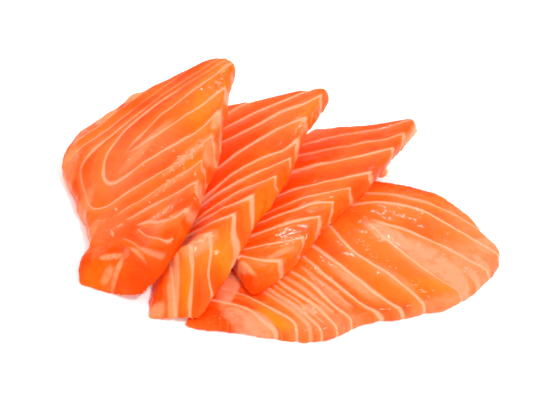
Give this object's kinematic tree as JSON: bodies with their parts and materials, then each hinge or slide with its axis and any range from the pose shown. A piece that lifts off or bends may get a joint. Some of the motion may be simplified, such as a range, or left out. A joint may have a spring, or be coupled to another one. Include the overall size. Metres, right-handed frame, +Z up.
{
  "type": "sashimi slices",
  "caption": "Fanned raw salmon sashimi: marbled orange slices leaning on one another in the order they were cut, the last one lying flat.",
  "frame": {"origin": "centre of the bounding box in plan, on the surface the slices lie on", "axes": "+X along the row of slices towards the flat one, +Y away from the viewer, +Z up"},
  "size_m": [0.1178, 0.0832, 0.0248],
  "materials": {
    "flesh_flat": "moist raw salmon, stood in for by gloss plastic",
    "flesh_right": "moist raw salmon, stood in for by gloss plastic",
    "flesh_middle": "moist raw salmon, stood in for by gloss plastic",
    "flesh_left": "moist raw salmon, stood in for by gloss plastic"
  },
  "bodies": {
    "root": {"slice_flat": "flesh_flat", "slice_right": "flesh_right", "slice_middle": "flesh_middle", "slice_left": "flesh_left"}
  },
  "joints": []
}
